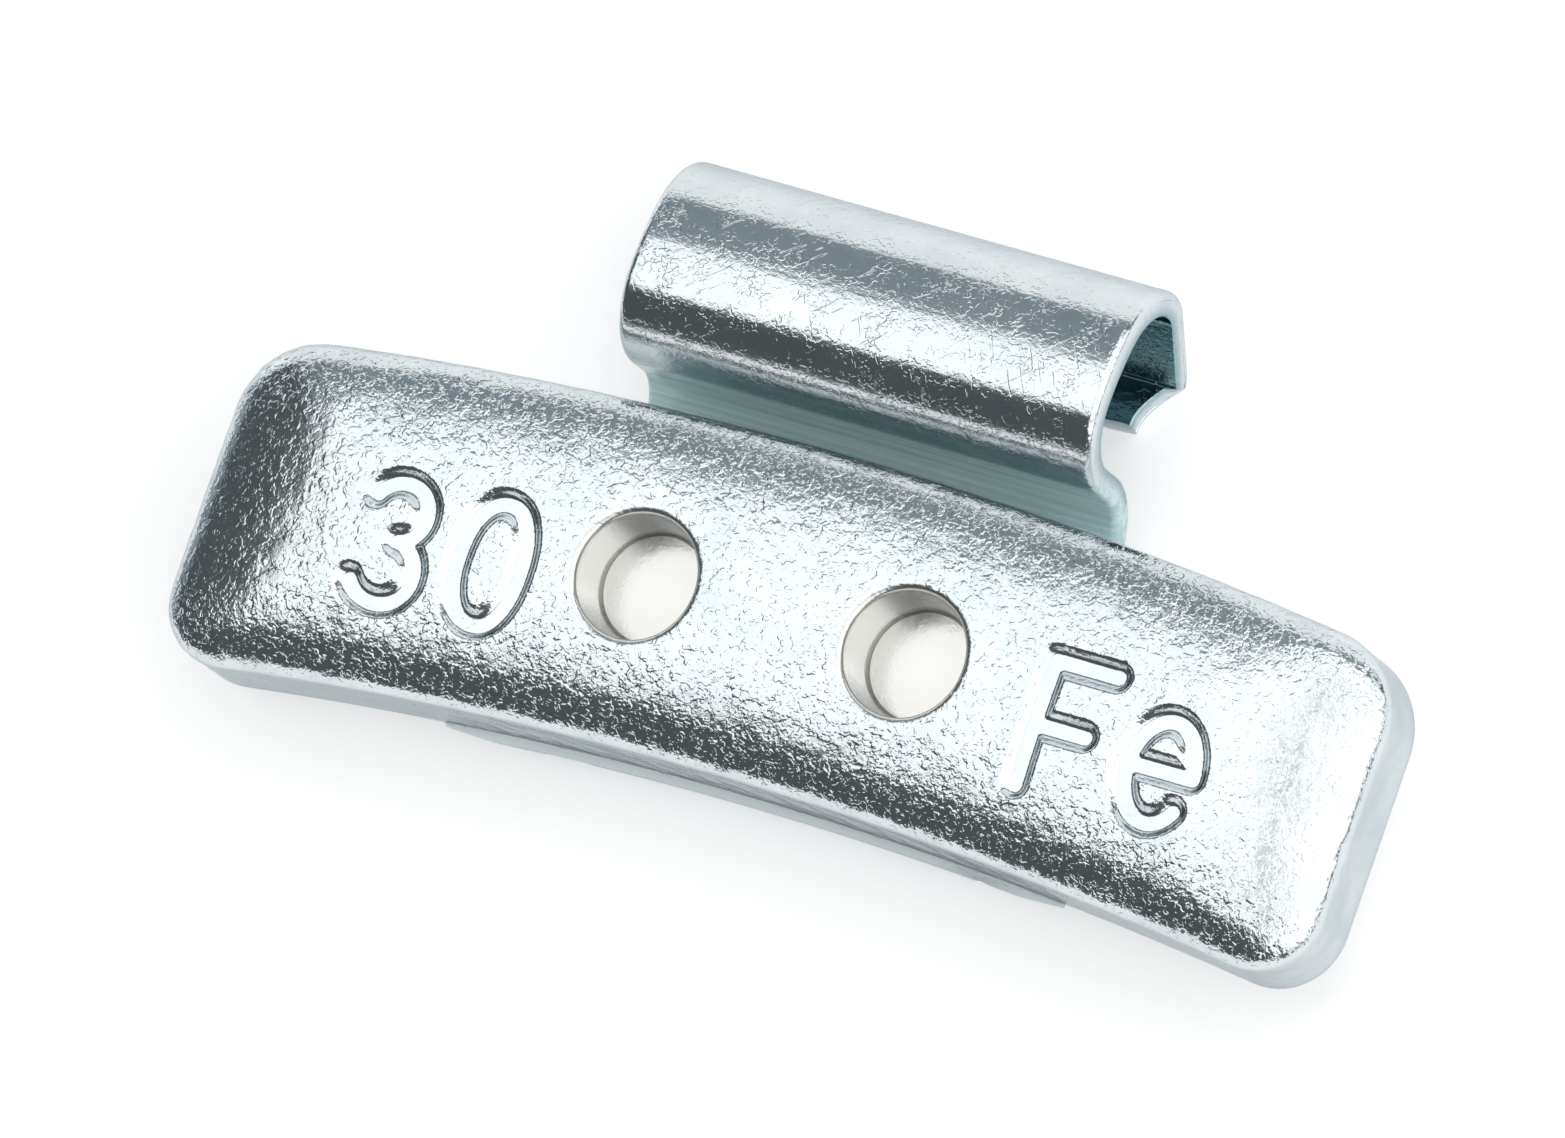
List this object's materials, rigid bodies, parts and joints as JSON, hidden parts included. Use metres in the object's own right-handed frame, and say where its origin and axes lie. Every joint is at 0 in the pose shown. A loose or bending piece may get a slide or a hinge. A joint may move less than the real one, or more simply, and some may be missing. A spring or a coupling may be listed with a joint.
{
  "type": "wheel balance weight",
  "caption": "Clip-on wheel balance weight: a plated steel bar with a domed face and punched recesses, riveted to a hooked spring clip that grips the edge of a wheel rim.",
  "frame": {"origin": "middle of the part on the surface it lies on, under its rivet heads and the crease of its hook", "axes": "+X along the bar, +Y from the bar towards the hook, +Z out of the marked face"},
  "size_m": [0.0486, 0.024, 0.0078],
  "materials": {
    "bar_plate": "bright zinc plate over finely hammered steel",
    "clip_plate": "bright zinc plate over smooth rolled strip"
  },
  "bodies": {
    "root": {"weight_body": "bar_plate", "spring_clip": "clip_plate"}
  },
  "joints": []
}
